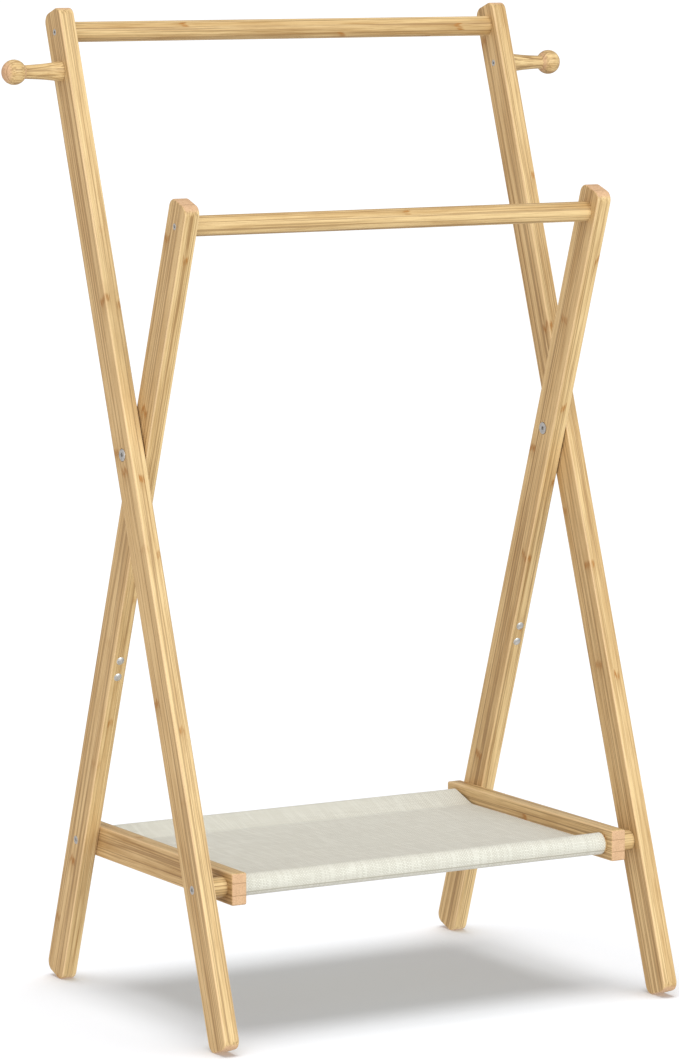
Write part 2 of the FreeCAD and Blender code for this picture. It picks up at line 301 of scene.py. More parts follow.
# How often the bamboo's streaks repeat per metre: across X, across Y and along Z.
BROAD_STREAKS = (230.0, 230.0, 7.0)
FINE_STREAKS = (1000.0, 1000.0, 26.0)
HAIR_STREAKS = (2600.0, 2600.0, 55.0)
CLOUDS = (30.0, 30.0, 6.0)
VEINS = (430.0, 430.0, 2.6)
FIBRE_ENDS = (700.0, 1500.0, 90.0)
KNUCKLE_SWAY = 0.022      # how far a broad streak pushes a knuckle along the bar, in metres
KNUCKLE_EDGE = (0.0014, 0.0070)   # from its middle, where a knuckle begins to fade and where it ends
HALO_EDGE = (0.002, 0.026)        # the same for the stained stretch round it
LINE_EDGE = (0.0001, 0.0007)      # the same for a glue line
END_LINE_EDGE = (0.0001, 0.0008)  # the same for a glue line on a cut end
WEAR_HIGHLIGHT_EDGE = (0.0004, 0.0026)      # the same for a worn edge with its painted highlight
STREAK_WEIGHTS = (1.40, 1.32, 0.80)  # how much broad streaks, fine streaks and clouds darken
TONE_WEIGHT = 0.52        # how much a strip's own tone darkens it
BASE_TONE = 0.10          # darkness added to every strip
UNCUT = 10.0              # a strip or half size so large that it never ends, in metres
NO_EDGES = (1.0, 1.0, 1.0)  # half sizes that keep worn edges off round pieces
FIRST_BAR_SEED = 41.0     # each piece has its own seed, counted up from these
FIRST_ROD_SEED = 20.0
FIRST_PEG_SEED = 30.0


def bamboo_group(look):
    """The solid pattern of laminated bamboo in a bar's own axes, its length along Z.

    The bar is cut into strips across X and Y. A strip has its own tone and its own
    knuckles along Z. Long streaks run with the grain, a thin dark line parts two strips,
    edges are worn pale and carry a painted highlight, and the cut ends show the ends of
    the fibres as dots.
    """
    tree = bpy.data.node_groups.new("bamboo_pattern", "ShaderNodeTree")
    for name, kind in (("Place", "Vector"), ("Strip", "Vector"), ("Half", "Vector"),
                       ("Seed", "Float"), ("End", "Float")):
        tree.interface.new_socket(name=name, in_out="INPUT", socket_type="NodeSocket" + kind)
    for name, kind in (("Colour", "Color"), ("Roughness", "Float"), ("Height", "Float")):
        tree.interface.new_socket(name=name, in_out="OUTPUT", socket_type="NodeSocket" + kind)
    graph = Graph(tree)
    given = tree.nodes.new("NodeGroupInput").outputs
    place, strip, half = given["Place"], given["Strip"], given["Half"]
    seed, end = given["Seed"], given["End"]
    x, y, z = graph.split(place)

    # The strip that a point is in, and its distance from the glue lines beside it.
    half_cell = (0.5, 0.5, 0.5)
    cell = graph.vector("ADD", graph.vector("DIVIDE", place, strip), half_cell)
    strip_x, strip_y, _ = graph.split(graph.vector("FLOOR", cell))
    across = graph.vector("SUBTRACT", graph.vector("FRACTION", cell), half_cell)
    inside = graph.vector("SUBTRACT", half_cell, graph.vector("ABSOLUTE", across))
    gap_x, gap_y, _ = graph.split(graph.vector("MULTIPLY", inside, strip))
    from_line = graph.math("MINIMUM", graph.math("MULTIPLY", gap_x, 2.2), gap_y)
    tone, drawn = graph.chance(graph.join(strip_x, strip_y, seed))
    phase, _, lot = graph.split(drawn)

    # Long streaks: broad, fine and hair-fine.
    offset = graph.join(graph.math("MULTIPLY", seed, 3.7), tone, graph.math("MULTIPLY", phase, 9.0))
    moved = graph.vector("ADD", place, offset)
    broad = graph.noise(graph.vector("MULTIPLY", moved, BROAD_STREAKS), detail=3.0)
    fine = graph.noise(graph.vector("MULTIPLY", moved, FINE_STREAKS), detail=3.0, roughness=0.6)
    hair = graph.noise(graph.vector("MULTIPLY", moved, HAIR_STREAKS), detail=1.0)
    cloud = graph.noise(graph.vector("MULTIPLY", moved, CLOUDS), detail=2.0)
    vein = graph.noise(graph.vector("MULTIPLY", moved, VEINS), detail=1.0)

    # Knuckles: a wavy band across each strip, with a paler stretch on one side of it.
    sway = graph.math("MULTIPLY", graph.math("SUBTRACT", broad, 0.5), KNUCKLE_SWAY)
    along = graph.math("ADD", z, sway)
    count = graph.math("ADD", graph.math("DIVIDE", along, look.knuckle_gap),
                       graph.math("MULTIPLY", phase, 17.0))
    which = graph.math("FLOOR", count)
    off = graph.math("SUBTRACT", graph.math("FRACT", count), 0.5)
    off = graph.math("MULTIPLY", off, look.knuckle_gap)
    strength, _ = graph.chance(graph.join(graph.math("ADD", strip_x, seed), which, strip_y))
    strength = graph.step(strength, 0.42, 0.75)
    distance = graph.math("ABSOLUTE", off)
    band = graph.step(distance, *KNUCKLE_EDGE, 1.0, 0.0)
    band = graph.math("MULTIPLY", band, graph.step(fine, 0.42, 0.55, 0.05, 1.0))
    band = graph.math("MULTIPLY", band, strength)
    halo = graph.math("MULTIPLY", graph.step(distance, *HALO_EDGE, 1.0, 0.0), strength)
    pale_side = graph.math("MULTIPLY", graph.step(off, 0.0, 0.006), halo)

    # Colour, one layer over another.
    value = graph.math("MULTIPLY", tone, TONE_WEIGHT)
    for part, weight in zip((broad, fine, cloud), STREAK_WEIGHTS):
        swing = graph.math("MULTIPLY", graph.math("SUBTRACT", part, 0.5), weight)
        value = graph.math("ADD", value, swing)
    value = graph.math("ADD", value, BASE_TONE, clamp=True)
    shade = graph.mix(value, rgba(look.pale), rgba(look.honey))
    shade = graph.mix(graph.step(vein, 0.54, 0.62, 0.0, 0.50), shade, rgba(look.glue))
    dash = graph.step(hair, 0.60, 0.74)
    dash = graph.math("MULTIPLY", dash, graph.step(fine, 0.45, 0.62))
    shade = graph.mix(graph.math("MULTIPLY", dash, 0.40), shade, rgba(look.glue))
    shade = graph.mix(graph.math("MULTIPLY", halo, 0.40), shade, rgba(look.honey))
    shade = graph.mix(graph.math("MULTIPLY", pale_side, 0.35), shade, rgba(look.pale))
    shade = graph.mix(graph.math("MULTIPLY", band, 0.92), shade, rgba(look.knuckle))
    wide_line = graph.step(gap_y, *END_LINE_EDGE, 1.0, 0.0)
    line = graph.step(from_line, *LINE_EDGE, 1.0, 0.0)
    line = graph.math("MULTIPLY", line, graph.math("ADD", 0.35, graph.math("MULTIPLY", lot, 0.50)))
    shade = graph.mix(line, shade, rgba(look.glue))

    # Worn edges with a painted highlight: near an edge of the bar both faces are close.
    size_x, size_y, _ = graph.split(half)
    edge_x = graph.math("SUBTRACT", size_x, graph.math("ABSOLUTE", x))
    edge_y = graph.math("SUBTRACT", size_y, graph.math("ABSOLUTE", y))
    wear_highlight = graph.step(graph.math("MAXIMUM", edge_x, edge_y), *WEAR_HIGHLIGHT_EDGE, 1.0, 0.0)
    wear_highlight = graph.math("MULTIPLY", wear_highlight, graph.step(broad, 0.25, 0.60, 0.30, 0.70))
    shade = graph.mix(wear_highlight, shade, rgba(look.worn_edge_highlight))

    # Cut ends: the fibres' ends are dots, closer together to one side of a strip.
    dots = graph.noise(graph.vector("MULTIPLY", place, FIBRE_ENDS), detail=1.0)
    dots = graph.step(dots, 0.52, 0.66)
    cut = graph.mix(graph.math("MULTIPLY", dots, 0.38), rgba(look.end_grain), rgba(look.glue))
    cut = graph.mix(graph.math("MULTIPLY", wide_line, 0.60), cut, rgba(look.glue))
    shade = graph.mix(graph.math("MULTIPLY", end, 0.85), shade, cut)

    rough = graph.math("ADD", look.gloss, graph.math("MULTIPLY", fine, 0.16))
    rough = graph.math("ADD", rough, graph.math("MULTIPLY", end, 0.18), clamp=True)
    height = graph.math("ADD", graph.math("MULTIPLY", fine, 0.55), graph.math("MULTIPLY", hair, 0.35))
    height = graph.math("SUBTRACT", height, graph.math("MULTIPLY", line, 1.1))
    height = graph.math("ADD", height, graph.math("MULTIPLY", band, 0.9))
    pits = graph.math("MULTIPLY", graph.math("MULTIPLY", dots, end), 0.8)
    height = graph.math("SUBTRACT", height, pits)
    out = tree.nodes.new("NodeGroupOutput")
    graph.feed(out.inputs["Colour"], shade)
    graph.feed(out.inputs["Roughness"], rough)
    graph.feed(out.inputs["Height"], height)
    return tree


def bamboo_material(name, group, centre, turn, axis, strip, half, seed):
    """Bamboo on one bar or rod.

    Object coordinates are carried to the bar's own axes, about its centre, with its
    length along Z. The cut ends are where the surface faces along that length.
    """
    made, graph, shader = new_material(name)
    coordinates = graph.add("TexCoord")
    own = graph.add("Mapping", {"Vector": coordinates.outputs["Object"]}, vector_type="TEXTURE")
    own.inputs["Location"].default_value = tuple(centre)
    own.inputs["Rotation"].default_value = turn
    facing = graph.vector("DOT_PRODUCT", coordinates.outputs["Normal"], tuple(axis))
    end = graph.step(graph.math("ABSOLUTE", facing), 0.45, 0.80)
    pattern = graph.add("Group", node_tree=group)
    for socket, value in (("Place", own.outputs[0]), ("Strip", strip), ("Half", half),
                          ("Seed", seed), ("End", end)):
        graph.feed(pattern.inputs[socket], value)
    bump = graph.add("Bump", {"Strength": 0.35, "Distance": 0.0004,
                              "Height": pattern.outputs["Height"]})
    graph.feed(shader.inputs["Base Color"], pattern.outputs["Colour"])
    graph.feed(shader.inputs["Roughness"], pattern.outputs["Roughness"])
    graph.feed(shader.inputs["Normal"], bump.outputs[0])
    shader.inputs["Specular IOR Level"].default_value = 0.30
    return made


STEEL_SCRATCHES = (2500.0, 9000.0, 9000.0)    # how often scratches repeat per metre along X, Y and Z
BRASS_SCRATCHES = (9000.0, 2500.0, 2500.0)


def metal_material(name, tint, look, turned):
    """Plated or turned metal: fine scratches, and dull patches darker than the rest."""
    made, graph, shader = new_material(name)
    place = graph.add("TexCoord").outputs["Object"]
    patch = graph.noise(place, 420.0, 3.0)
    marks = graph.noise(graph.vector("MULTIPLY", place, turned), 1.0, 2.0, 0.6)
    dark = tuple(part * (1.0 - look.tarnish) for part in tint)
    shade = graph.mix(graph.step(patch, 0.35, 0.70), rgba(tint), rgba(dark))
    rough = graph.math("ADD", 0.30, graph.math("MULTIPLY", patch, 0.25))
    rough = graph.math("ADD", rough, graph.math("MULTIPLY", marks, 0.10))
    bump = graph.add("Bump", {"Strength": 0.25, "Distance": 0.00005, "Height": marks})
    graph.feed(shader.inputs["Base Color"], shade)
    graph.feed(shader.inputs["Roughness"], rough)
    graph.feed(shader.inputs["Normal"], bump.outputs[0])
    shader.inputs["Metallic"].default_value = 1.0
    return made


SLUB_RATE = 20.0          # how often a thread's slubs repeat per metre
THREAD_SHIFT = 1.7        # how far apart in the noise two neighbouring threads are
UNDER_HEIGHT = 0.35       # how high a thread stands where it passes under, one being over
CREASE_EDGE = (0.0004, 0.0012)    # from its middle, where the pressed line fades and where it ends
CREASE_SHADE = 0.80       # how much painted shade, in the cloth's shade colour, the pressed line takes


def canvas_material(name, look, cut_length):
    """A plain weave on the cloth's own flat places, in metres.

    Each thread is a half-wave across its width, high where it passes over and low where
    it passes under, and the two sets of threads take turns like a chessboard. The low
    places between threads get painted shade. Slubs are long patches of noise that follow
    single threads. A line is pressed into the cloth low on the outer side of each sleeve,
    and painted shade darkens it.
    """
    made, graph, shader = new_material(name)
    flat = graph.add("UVMap", uv_map="cloth").outputs[0]
    u, v, _ = graph.split(flat)
    warp_place = graph.math("DIVIDE", v, look.thread_gap)
    weft_place = graph.math("DIVIDE", u, look.thread_gap)
    warp_number = graph.math("FLOOR", warp_place)
    weft_number = graph.math("FLOOR", weft_place)
    total = graph.math("ADD", warp_number, weft_number)
    over = graph.math("MULTIPLY", graph.math("FRACT", graph.math("MULTIPLY", total, 0.5)), 2.0)
    warp_wave = graph.math("SINE", graph.math("MULTIPLY", graph.math("FRACT", warp_place), math.pi))
    weft_wave = graph.math("SINE", graph.math("MULTIPLY", graph.math("FRACT", weft_place), math.pi))
    under = graph.math("SUBTRACT", 1.0, over)
    warp_high = graph.math("MULTIPLY", warp_wave, graph.math("MULTIPLY_ADD", over, weft_wave, UNDER_HEIGHT))
    weft_high = graph.math("MULTIPLY", weft_wave, graph.math("MULTIPLY_ADD", under, warp_wave, UNDER_HEIGHT))
    height = graph.math("MAXIMUM", warp_high, weft_high)

    # Each thread has its own slubs: noise that is slow along it and quick from one to the next.
    warp_tone = graph.noise(graph.join(graph.math("MULTIPLY", u, SLUB_RATE),
                                       graph.math("MULTIPLY", warp_number, THREAD_SHIFT), 3.0), 1.0, 2.0)
    weft_tone = graph.noise(graph.join(graph.math("MULTIPLY", weft_number, THREAD_SHIFT),
                                       graph.math("MULTIPLY", v, SLUB_RATE), 8.0), 1.0, 2.0)
    warp_slub = graph.step(warp_tone, 0.42, 0.58)
    weft_slub = graph.step(weft_tone, 0.46, 0.62)
    is_warp = graph.step(graph.math("SUBTRACT", warp_high, weft_high), -0.15, 0.15)
    thread = graph.mix(is_warp, rgba(look.weft), rgba(look.warp))
    slubs = graph.add("Mix", {0: is_warp, 2: weft_slub, 3: warp_slub}).outputs[0]
    shade = graph.mix(graph.math("MULTIPLY", slubs, 0.50), thread, rgba(look.slub))
    # Painted shade in the low places between threads.
    gap_shade = graph.step(height, 0.05, 0.60, 0.70, 0.0)
    shade = graph.mix(gap_shade, shade, rgba(look.gap))
    # The pressed line is a groove in the bump, darkened with painted shade.
    from_middle = graph.math("ABSOLUTE", graph.math("SUBTRACT", v, cut_length / 2.0))
    from_crease = graph.math("ABSOLUTE", graph.math("SUBTRACT", from_middle, look.shaded_crease))
    shaded_crease = graph.step(from_crease, *CREASE_EDGE, CREASE_SHADE, 0.0)
    shade = graph.mix(shaded_crease, shade, rgba(look.gap))
    place = graph.add("TexCoord").outputs["Object"]
    cloud = graph.noise(place, 9.0, 3.0)
    shade = graph.mix(graph.step(cloud, 0.35, 0.70, 0.0, 0.12), shade, rgba(look.weft))

    height = graph.math("ADD", height, graph.math("MULTIPLY", slubs, 0.45))
    height = graph.math("SUBTRACT", height, graph.math("MULTIPLY", shaded_crease, 2.0))
    bump = graph.add("Bump", {"Strength": 0.55, "Distance": 0.00035, "Height": height})
    rough = graph.math("ADD", 0.78, graph.math("MULTIPLY", cloud, 0.18))
    graph.feed(shader.inputs["Base Color"], shade)
    graph.feed(shader.inputs["Roughness"], rough)
    graph.feed(shader.inputs["Normal"], bump.outputs[0])
    shader.inputs["Specular IOR Level"].default_value = 0.20
    shader.inputs["Sheen Weight"].default_value = 0.15
    shader.inputs["Sheen Roughness"].default_value = 0.5
    return made


TWIST_RATE = 9000.0       # radians of twist per metre of sewing thread


def thread_material(name, look):
    """Twisted sewing thread: slanting ridges along the rods' direction, with painted shade in the troughs.
    """
    made, graph, shader = new_material(name)
    place = graph.add("TexCoord").outputs["Object"]
    x, y, z = graph.split(place)
    slant = graph.math("ADD", graph.math("ADD", x, y), z)
    twist = graph.math("SINE", graph.math("MULTIPLY", slant, TWIST_RATE))
    fluff = graph.noise(place, 2500.0, 2.0)
    dark = tuple(part * 0.72 for part in look.thread)
    # Painted shade in the troughs of the twist.
    shade = graph.mix(graph.step(twist, -1.0, 0.6), rgba(dark), rgba(look.thread))
    shade = graph.mix(graph.step(fluff, 0.5, 0.8, 0.0, 0.4), shade, rgba(look.thread))
    bump = graph.add("Bump", {"Strength": 0.5, "Distance": 0.00008, "Height": twist})
    graph.feed(shader.inputs["Base Color"], shade)
    graph.feed(shader.inputs["Normal"], bump.outputs[0])
    graph.feed(shader.inputs["Roughness"], graph.math("ADD", 0.6, graph.math("MULTIPLY", fluff, 0.3)))
    return made


def floor_material(name, look):
    """Pale seamless paper with the faintest unevenness."""
    made, graph, shader = new_material(name)
    place = graph.add("TexCoord").outputs["Object"]
    cloud = graph.noise(place, 3.0, 2.0)
    dim = tuple(part * 0.985 for part in look.floor)
    graph.feed(shader.inputs["Base Color"], graph.mix(cloud, rgba(dim), rgba(look.floor)))
    shader.inputs["Roughness"].default_value = 0.95
    shader.inputs["Specular IOR Level"].default_value = 0.0
    shader.inputs["Emission Color"].default_value = (0.60, 0.75, 1.0, 1.0)
    shader.inputs["Emission Strength"].default_value = look.floor_glow
    return made


# ---------------------------------------------------------------- surfaces

def closed_loops(rows, columns):
    """Four-sided faces of a grid whose columns close on themselves."""
    row, column = np.meshgrid(np.arange(rows - 1), np.arange(columns), indexing="ij")
    after = (column + 1) % columns
    corners = (row * columns + column, row * columns + after,
               (row + 1) * columns + after, (row + 1) * columns + column)
    return np.stack(corners, axis=-1).reshape(-1, 4)


def new_mesh(name, points, faces, smooth=True):
    """A mesh object at the origin, from points and lists of faces."""
    mesh = bpy.data.meshes.new(name)
    mesh.from_pydata(points.tolist(), [], [face for block in faces for face in block.tolist()])
    mesh.update()
    mesh.polygons.foreach_set("use_smooth", np.full(len(mesh.polygons), smooth))
    made = bpy.data.objects.new(name, mesh)
    bpy.context.scene.collection.objects.link(made)
    return made


def finish(node, material):
    """Gives a frame node one material."""
    slots = frame["nodes"][node].data.materials
    slots.clear()
    slots.append(material)


PEG_RINGS = 150
PEG_SIDES = 96
NECK_HOLLOW = 0.16        # how much the neck's taper bows inward


def peg_surface(name, leg_face, centre, toward, sizes):
    """A turned peg: a radius worked out along the axis, spun about it.

    The neck is a shallow hollow taper from the base to the narrowest place, and the ball
    is the root of its radius squared less the distance squared. The larger of the two
    is taken through a smooth maximum, which leaves a fillet where they meet.
    """
    tip = sizes.ball_reach + sizes.ball_radius
    turn = np.linspace(0.0, math.pi, PEG_RINGS)
    along = tip * (1.0 - np.cos(turn)) / 2.0
    shared = np.clip(along / sizes.neck_reach, 0.0, 1.0)
    hollow = shared + NECK_HOLLOW * np.sin(math.pi * shared)
    neck = sizes.base_radius + (sizes.neck_radius - sizes.base_radius) * hollow
    reach = sizes.ball_radius ** 2 - (along - sizes.ball_reach) ** 2
    ball = np.sqrt(np.clip(reach, 0.0, None))
    gone = along > sizes.ball_reach
    neck = np.where(gone, 0.0, neck)
    soft = sizes.fillet
    blend = np.clip(0.5 + 0.5 * (ball - neck) / soft, 0.0, 1.0)
    radius = neck * (1.0 - blend) + ball * blend + soft * blend * (1.0 - blend)
    radius = np.where(gone, ball, radius)
    base = np.clip(along / sizes.base_edge, 0.0, 1.0)
    radius = radius - sizes.base_edge * (1.0 - np.sqrt(base * (2.0 - base)))
    radius[-1] = 0.0

    around = PEG_SIDES
    angle = np.linspace(0.0, 2.0 * math.pi, around, endpoint=False)
    ring_x = leg_face + toward * along[:-1]
    grid = np.empty((len(ring_x), around, 3))
    grid[:, :, 0] = ring_x[:, None]
    grid[:, :, 1] = centre[1] + radius[:-1, None] * np.cos(angle) * toward
    grid[:, :, 2] = centre[2] + radius[:-1, None] * np.sin(angle)
    poles = np.array([[leg_face, centre[1], centre[2]],
                      [leg_face + toward * tip, centre[1], centre[2]]])
    points = np.vstack([grid.reshape(-1, 3), poles])
    first = np.arange(around)
    second = (first + 1) % around
    last = (len(ring_x) - 1) * around
    base_pole = len(points) - 2
    cap_in = np.stack([second, first, np.full(around, base_pole)], axis=1)
    cap_out = np.stack([last + first, last + second, np.full(around, base_pole + 1)], axis=1)
    return new_mesh(name, points, [closed_loops(len(ring_x), around), cap_in, cap_out])


ARC_POINTS = 41           # points round a rod, before the path is made even
PATH_POINTS = 361         # points along the whole path
LAYER_SPACING = 1.15      # from one layer's middle to the next, in thicknesses
LEVEL_SLACK = 2e-4        # how far off its level the path still counts as the panel, in metres


def cloth_path(sizes):
    """The cloth's middle line from front to back, as Y, Z and distance along it.

    It starts under the front seam, runs along the pocket's lower tangent to the front
    rod, round it through an arc, back down the upper tangent to the seam, flat to the
    rear seam, and the same again in reverse round the rear rod. The corners are then
    eased by a running average.
    """
    rod = middle("shelf_rear_rod")
    radius = half_size("shelf_rear_rod")[2] + sizes.rod_gap
    touch = math.acos(radius / sizes.seam_reach)
    seam_y = rod[1] - sizes.seam_reach
    arc = np.linspace(touch, 2.0 * math.pi - touch, ARC_POINTS)
    arc_y = rod[1] - radius * np.cos(arc)
    arc_z = rod[2] + radius * np.sin(arc)
    below = sizes.thickness * LAYER_SPACING
    rear_y = np.concatenate([[0.0, seam_y], arc_y, [seam_y, seam_y - sizes.turn_in]])
    rear_z = np.concatenate([[rod[2], rod[2]], arc_z, [rod[2] - below, rod[2] - below]])
    y = np.concatenate([-rear_y[::-1], rear_y[1:]])
    z = np.concatenate([rear_z[::-1], rear_z[1:]])
    run = np.concatenate([[0.0], np.cumsum(np.hypot(np.diff(y), np.diff(z)))])
    even = np.linspace(0.0, run[-1], PATH_POINTS)
    y = np.interp(even, run, y)
    z = np.interp(even, run, z)
    weights = np.array([1.0, 4.0, 6.0, 4.0, 1.0]) / 16.0
    for line in (y, z):
        padded = np.pad(line, 2, mode="reflect", reflect_type="odd")
        line[:] = np.convolve(padded, weights, mode="valid")
    run = np.concatenate([[0.0], np.cumsum(np.hypot(np.diff(y), np.diff(z)))])
    return y, z, run


def panel_share(y, z, sizes):
    """One on the flat panel between the seams, falling to nothing at them."""
    reach = abs(middle("shelf_rear_rod")[1]) - sizes.seam_reach
    level = middle("shelf_rear_rod")[2]
    inside = np.clip(1.0 - (y / reach) ** 2, 0.0, 1.0)
    return inside * (np.abs(z - level) < LEVEL_SLACK)


def slow_ripple(x, run):
    """A slow unevenness from a few waves that cross each other, about nothing."""
    return (np.sin(21.0 * x + 9.0 * run + 0.7) + 0.7 * np.sin(47.0 * x - 18.0 * run + 2.1)
            + 0.5 * np.sin(13.0 * x + 61.0 * run + 4.0) + 0.4 * np.sin(90.0 * x + 33.0 * run)) / 2.6


HEM_BAND = 0.012          # the closer points at each side, in metres
WIDE_POINTS = 110         # points across the panel between those bands
HEM_POINTS = 12           # points across each band, with the one it shares with the panel
HEM_STEP = 0.0012         # how wide the step up to a hem is, in metres
EASE_REACH = 0.05         # how far from the cut ends the waves grow to full height, in metres
EASE_LEAST = 0.15         # what is left of the waves at a cut end
SLEEVE_WAVE = 0.25        # what is left of the waves on the sleeves


def cloth_surface(name, sizes):
    """The cloth shelf: a thin rounded outline across X, carried along the cloth's path.

    The outline goes out along the top and back along the underside. It is a layer thick,
    and thicker in the hems, whose outer edges are half an ellipse. Each point is set off
    the path along the path's normal. The panel sags as one minus the square of its place
    each way, and slow waves make it uneven.
    """
    y, z, run = cloth_path(sizes)
    tangent_y = np.gradient(y, run)
    tangent_z = np.gradient(z, run)
    size = np.hypot(tangent_y, tangent_z)
    normal_y = -tangent_z / size
    normal_z = tangent_y / size

    edge = sizes.half_width
    wide = np.linspace(HEM_BAND - edge, edge - HEM_BAND, WIDE_POINTS)
    hem = edge - HEM_BAND * (1.0 - np.sin(np.linspace(0.0, math.pi / 2.0, HEM_POINTS)[1:]))
    across = np.concatenate([-hem[::-1], wide, hem])
    from_edge = edge - np.abs(across)
    in_hem = np.clip((sizes.hem - from_edge) / HEM_STEP, 0.0, 1.0)
    thick = sizes.thickness + (sizes.hem_thickness - sizes.thickness) * in_hem
    rounding = sizes.hem_thickness / 2.0
    near = np.clip(1.0 - from_edge / rounding, 0.0, 1.0)
    lift = thick / 2.0 * np.sqrt(1.0 - near ** 2)
    outline_x = np.concatenate([across, across[-2:0:-1]])
    outline_n = np.concatenate([lift, -lift[-2:0:-1]])

    panel = panel_share(y, z, sizes)
    down = sizes.sag * panel[:, None] * (1.0 - (outline_x / edge) ** 2)[None, :]
    wave = sizes.ripple * slow_ripple(outline_x[None, :], run[:, None])
    ease = np.clip(np.minimum(run, run[-1] - run) / EASE_REACH, EASE_LEAST, 1.0)
    wave = wave * (SLEEVE_WAVE + (1.0 - SLEEVE_WAVE) * panel[:, None]) * ease[:, None]
    off = outline_n[None, :] + wave
    grid = np.empty((len(run), len(outline_x), 3))
    grid[:, :, 0] = outline_x[None, :]
    grid[:, :, 1] = y[:, None] + off * normal_y[:, None]
    grid[:, :, 2] = z[:, None] + off * normal_z[:, None] - down
    columns = len(outline_x)
    top = len(across)
    points = grid.reshape(-1, 3)
    loops = closed_loops(len(run), columns)[:, ::-1]

    # Each end is closed by joining the outline's upper and lower points.
    upper = np.arange(1, top - 2)
    lower = columns - upper
    strip = np.stack([upper, upper + 1, lower - 1, lower], axis=1)
    tips = np.array([[0, 1, columns - 1]])
    last_tips = np.array([[top - 2, top - 1, top]])
    final = (len(run) - 1) * columns
    faces = [loops, strip, tips, last_tips, strip[:, ::-1] + final,
             tips[:, ::-1] + final, last_tips[:, ::-1] + final]
    made = new_mesh(name, points, faces)
    flat_u = np.tile(outline_x, len(run))
    flat_v = np.repeat(run, columns)
    layer = made.data.uv_layers.new(name="cloth")
    corner = np.empty(len(made.data.loops), dtype=np.int64)
    made.data.loops.foreach_get("vertex_index", corner)
    layer.data.foreach_set("uv", np.stack([flat_u[corner], flat_v[corner]], axis=1).ravel())
    return made, run[-1]


HEM_STITCH_INSET = 0.0018   # from a hem's inner edge to its stitches, in metres
SEAM_STITCH_INSET = 0.0035  # from a pocket's seam to its stitches, on the panel's side
ROW_END = 0.004             # how far a row of stitches stops short


def stitch_lines(sizes, stitch):
    """Centres, directions and outward normals of every stitch.

    Two seams run along X, each sewn through to the underside. A line of stitches runs
    along each side hem of the panel, from one seam to the other.
    """
    level = middle("shelf_rear_rod")[2]
    seam_y = abs(middle("shelf_rear_rod")[1]) - sizes.seam_reach
    hem_x = sizes.half_width - sizes.hem + HEM_STITCH_INSET
    reach = sizes.half_width - ROW_END
    count_x = int(2.0 * reach / stitch.pitch)
    place_x = (np.arange(count_x) - (count_x - 1) / 2.0) * stitch.pitch
    count_y = int(2.0 * (seam_y - ROW_END) / stitch.pitch)
    place_y = (np.arange(count_y) - (count_y - 1) / 2.0) * stitch.pitch
    seam_inset = seam_y - SEAM_STITCH_INSET
    lines = []
    for side in (-1.0, 1.0):
        for face in (-1.0, 1.0):
            drop = sizes.thickness / 2.0 if face > 0 else -sizes.thickness * (LAYER_SPACING + 0.5)
            lines.append((place_x, np.full(count_x, side * seam_inset), level + drop, 0, face))
            hem_lift = face * sizes.hem_thickness / 2.0
            lines.append((np.full(count_y, side * hem_x), place_y, level + hem_lift, 1, face))
    return lines


def sag_at(x, y, sizes):
    """How far the panel hangs at a place, as in the cloth's own surface."""
    reach = abs(middle("shelf_rear_rod")[1]) - sizes.seam_reach
    along = np.clip(1.0 - (y / reach) ** 2, 0.0, 1.0)
    return sizes.sag * along * (1.0 - (x / sizes.half_width) ** 2)


BEAD_RINGS = 5
BEAD_SIDES = 6
BEAD_TIP = 1e-4             # how far a bead's tip stands past its last ring, in metres
BEAD_FLATNESS = 0.8         # a bead's height as a share of its width


def stitch_surface(name, sizes, stitch):
    """Every stitch is a low bead: rings of an ellipse whose size is a half-wave along it."""
    rings, around = BEAD_RINGS, BEAD_SIDES
    t = np.linspace(0.0, 1.0, rings)
    swell = np.sin(math.pi * (0.10 + 0.80 * t))
    angle = np.linspace(0.0, 2.0 * math.pi, around, endpoint=False)
    along = (t - 0.5) * stitch.run
    bead = np.empty((rings, around, 3))
    bead[:, :, 0] = along[:, None]
    bead[:, :, 1] = stitch.radius * swell[:, None] * np.cos(angle)
    bead[:, :, 2] = stitch.radius * swell[:, None] * np.sin(angle) * BEAD_FLATNESS
    ends = np.array([[along[0] - BEAD_TIP, 0.0, 0.0], [along[-1] + BEAD_TIP, 0.0, 0.0]])
    bead = np.vstack([bead.reshape(-1, 3), ends])
    first = np.arange(around)
    second = (first + 1) % around
    last = (rings - 1) * around
    quads = closed_loops(rings, around)[:, ::-1]
    near_pole = np.full(around, rings * around)
    caps = np.vstack([np.stack([first, second, near_pole], axis=1),
                      np.stack([last + second, last + first, near_pole + 1], axis=1)])
    points, quad_blocks, cap_blocks, start = [], [], [], 0
    for x, y, level, axis, face in stitch_lines(sizes, stitch):
        centre = np.stack([x, y, level - sag_at(x, y, sizes)], axis=1)
        own = bead if axis == 0 else bead[:, [1, 0, 2]] * np.array([-1.0, 1.0, 1.0])
        block = centre[:, None, :] + own[None, :, :]
        shift = (start + np.arange(len(x)) * len(bead))[:, None, None]
        points.append(block.reshape(-1, 3))
        quad_blocks.append((quads[None] + shift).reshape(-1, 4))
        cap_blocks.append((caps[None] + shift).reshape(-1, 3))
        start += len(x) * len(bead)
    return new_mesh(name, np.vstack(points), quad_blocks + cap_blocks)


# ---------------------------------------------------------------- operators

